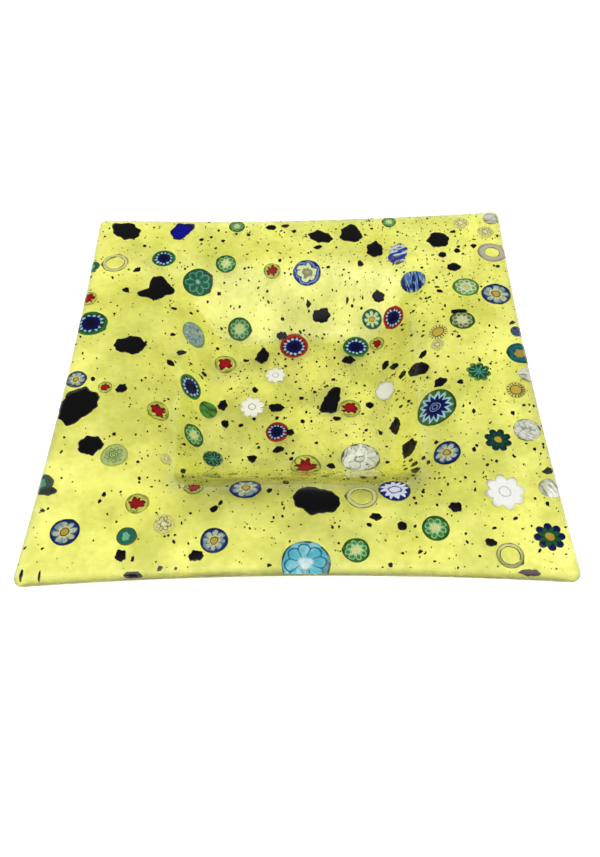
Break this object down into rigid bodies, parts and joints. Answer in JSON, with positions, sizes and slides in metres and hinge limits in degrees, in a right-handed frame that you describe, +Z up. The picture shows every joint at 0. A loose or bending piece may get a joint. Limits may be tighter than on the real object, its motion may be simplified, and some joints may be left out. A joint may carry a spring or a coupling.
{
  "type": "art glass bowl",
  "caption": "Square slumped dish of fused yellow glass with a wide flat rim, round patterned cane slices and black glass shards set flush in its clear upper layer.",
  "frame": {"origin": "middle of the flat foot, on the surface the dish stands on", "axes": "+Z up, square to the foot; +X and +Y along the sides of the square, with +Y away from the viewer"},
  "size_m": [0.2, 0.2, 0.03],
  "materials": {
    "yellow_glass": "polished transparent yellow",
    "clear_glass": "fire-polished clear",
    "black_glass": "polished opaque black",
    "green_murrina": "polished, patterned green cane",
    "red_murrina": "polished, patterned red cane",
    "blue_murrina": "polished, patterned blue cane",
    "white_murrina": "polished opaque white cane",
    "grey_murrina": "polished, see-through cane with dark outlines",
    "cream_murrina": "polished, pale patterned cane",
    "teal_murrina": "polished, patterned teal cane"
  },
  "bodies": {
    "root": {"black_shard_1": "black_glass", "black_shard_10": "black_glass", "black_shard_11": "black_glass", "black_shard_12": "black_glass", "black_shard_2": "black_glass", "black_shard_3": "black_glass", "black_shard_4": "black_glass", "black_shard_5": "black_glass", "black_shard_6": "black_glass", "black_shard_7": "black_glass", "black_shard_8": "black_glass", "black_shard_9": "black_glass", "blue_daisy_murrina_1": "blue_murrina", "blue_daisy_murrina_2": "blue_murrina", "blue_daisy_murrina_3": "blue_murrina", "blue_daisy_murrina_4": "blue_murrina", "blue_daisy_murrina_5": "blue_murrina", "blue_flower_murrina_1": "blue_murrina", "blue_flower_murrina_2": "blue_murrina", "clear_ring_murrina_1": "grey_murrina", "clear_ring_murrina_2": "grey_murrina", "clear_ring_murrina_3": "grey_murrina", "clear_ring_murrina_4": "grey_murrina", "clear_top_sheet": "clear_glass", "cobalt_chip": "blue_murrina", "dark_flower_murrina_1": "green_murrina", "dark_flower_murrina_2": "green_murrina", "dark_flower_murrina_3": "green_murrina", "green_daisy_murrina_1": "green_murrina", "green_daisy_murrina_2": "green_murrina", "green_daisy_murrina_3": "green_murrina", "green_daisy_murrina_4": "green_murrina", "green_daisy_murrina_5": "green_murrina", "green_daisy_murrina_6": "green_murrina", "green_daisy_murrina_7": "green_murrina", "green_starburst_murrina_1": "green_murrina", "green_starburst_murrina_2": "green_murrina", "green_starburst_murrina_3": "green_murrina", "green_starburst_murrina_4": "green_murrina", "green_starburst_murrina_5": "green_murrina", "pale_flower_murrina_1": "cream_murrina", "pale_flower_murrina_2": "cream_murrina", "pale_flower_murrina_3": "cream_murrina", "red_star_murrina_1": "red_murrina", "red_star_murrina_2": "red_murrina", "red_star_murrina_3": "red_murrina", "red_starburst_murrina_1": "red_murrina", "red_starburst_murrina_2": "red_murrina", "red_starburst_murrina_3": "red_murrina", "striped_cane_murrina_1": "blue_murrina", "striped_cane_murrina_2": "blue_murrina", "striped_cane_murrina_3": "blue_murrina", "teal_flower_murrina_1": "teal_murrina", "teal_flower_murrina_2": "teal_murrina", "turquoise_petal_murrina_1": "teal_murrina", "white_chip": "white_murrina", "white_daisy_murrina_1": "white_murrina", "white_daisy_murrina_2": "white_murrina", "white_daisy_murrina_3": "white_murrina", "yellow_base_sheet": "yellow_glass"}
  },
  "joints": []
}
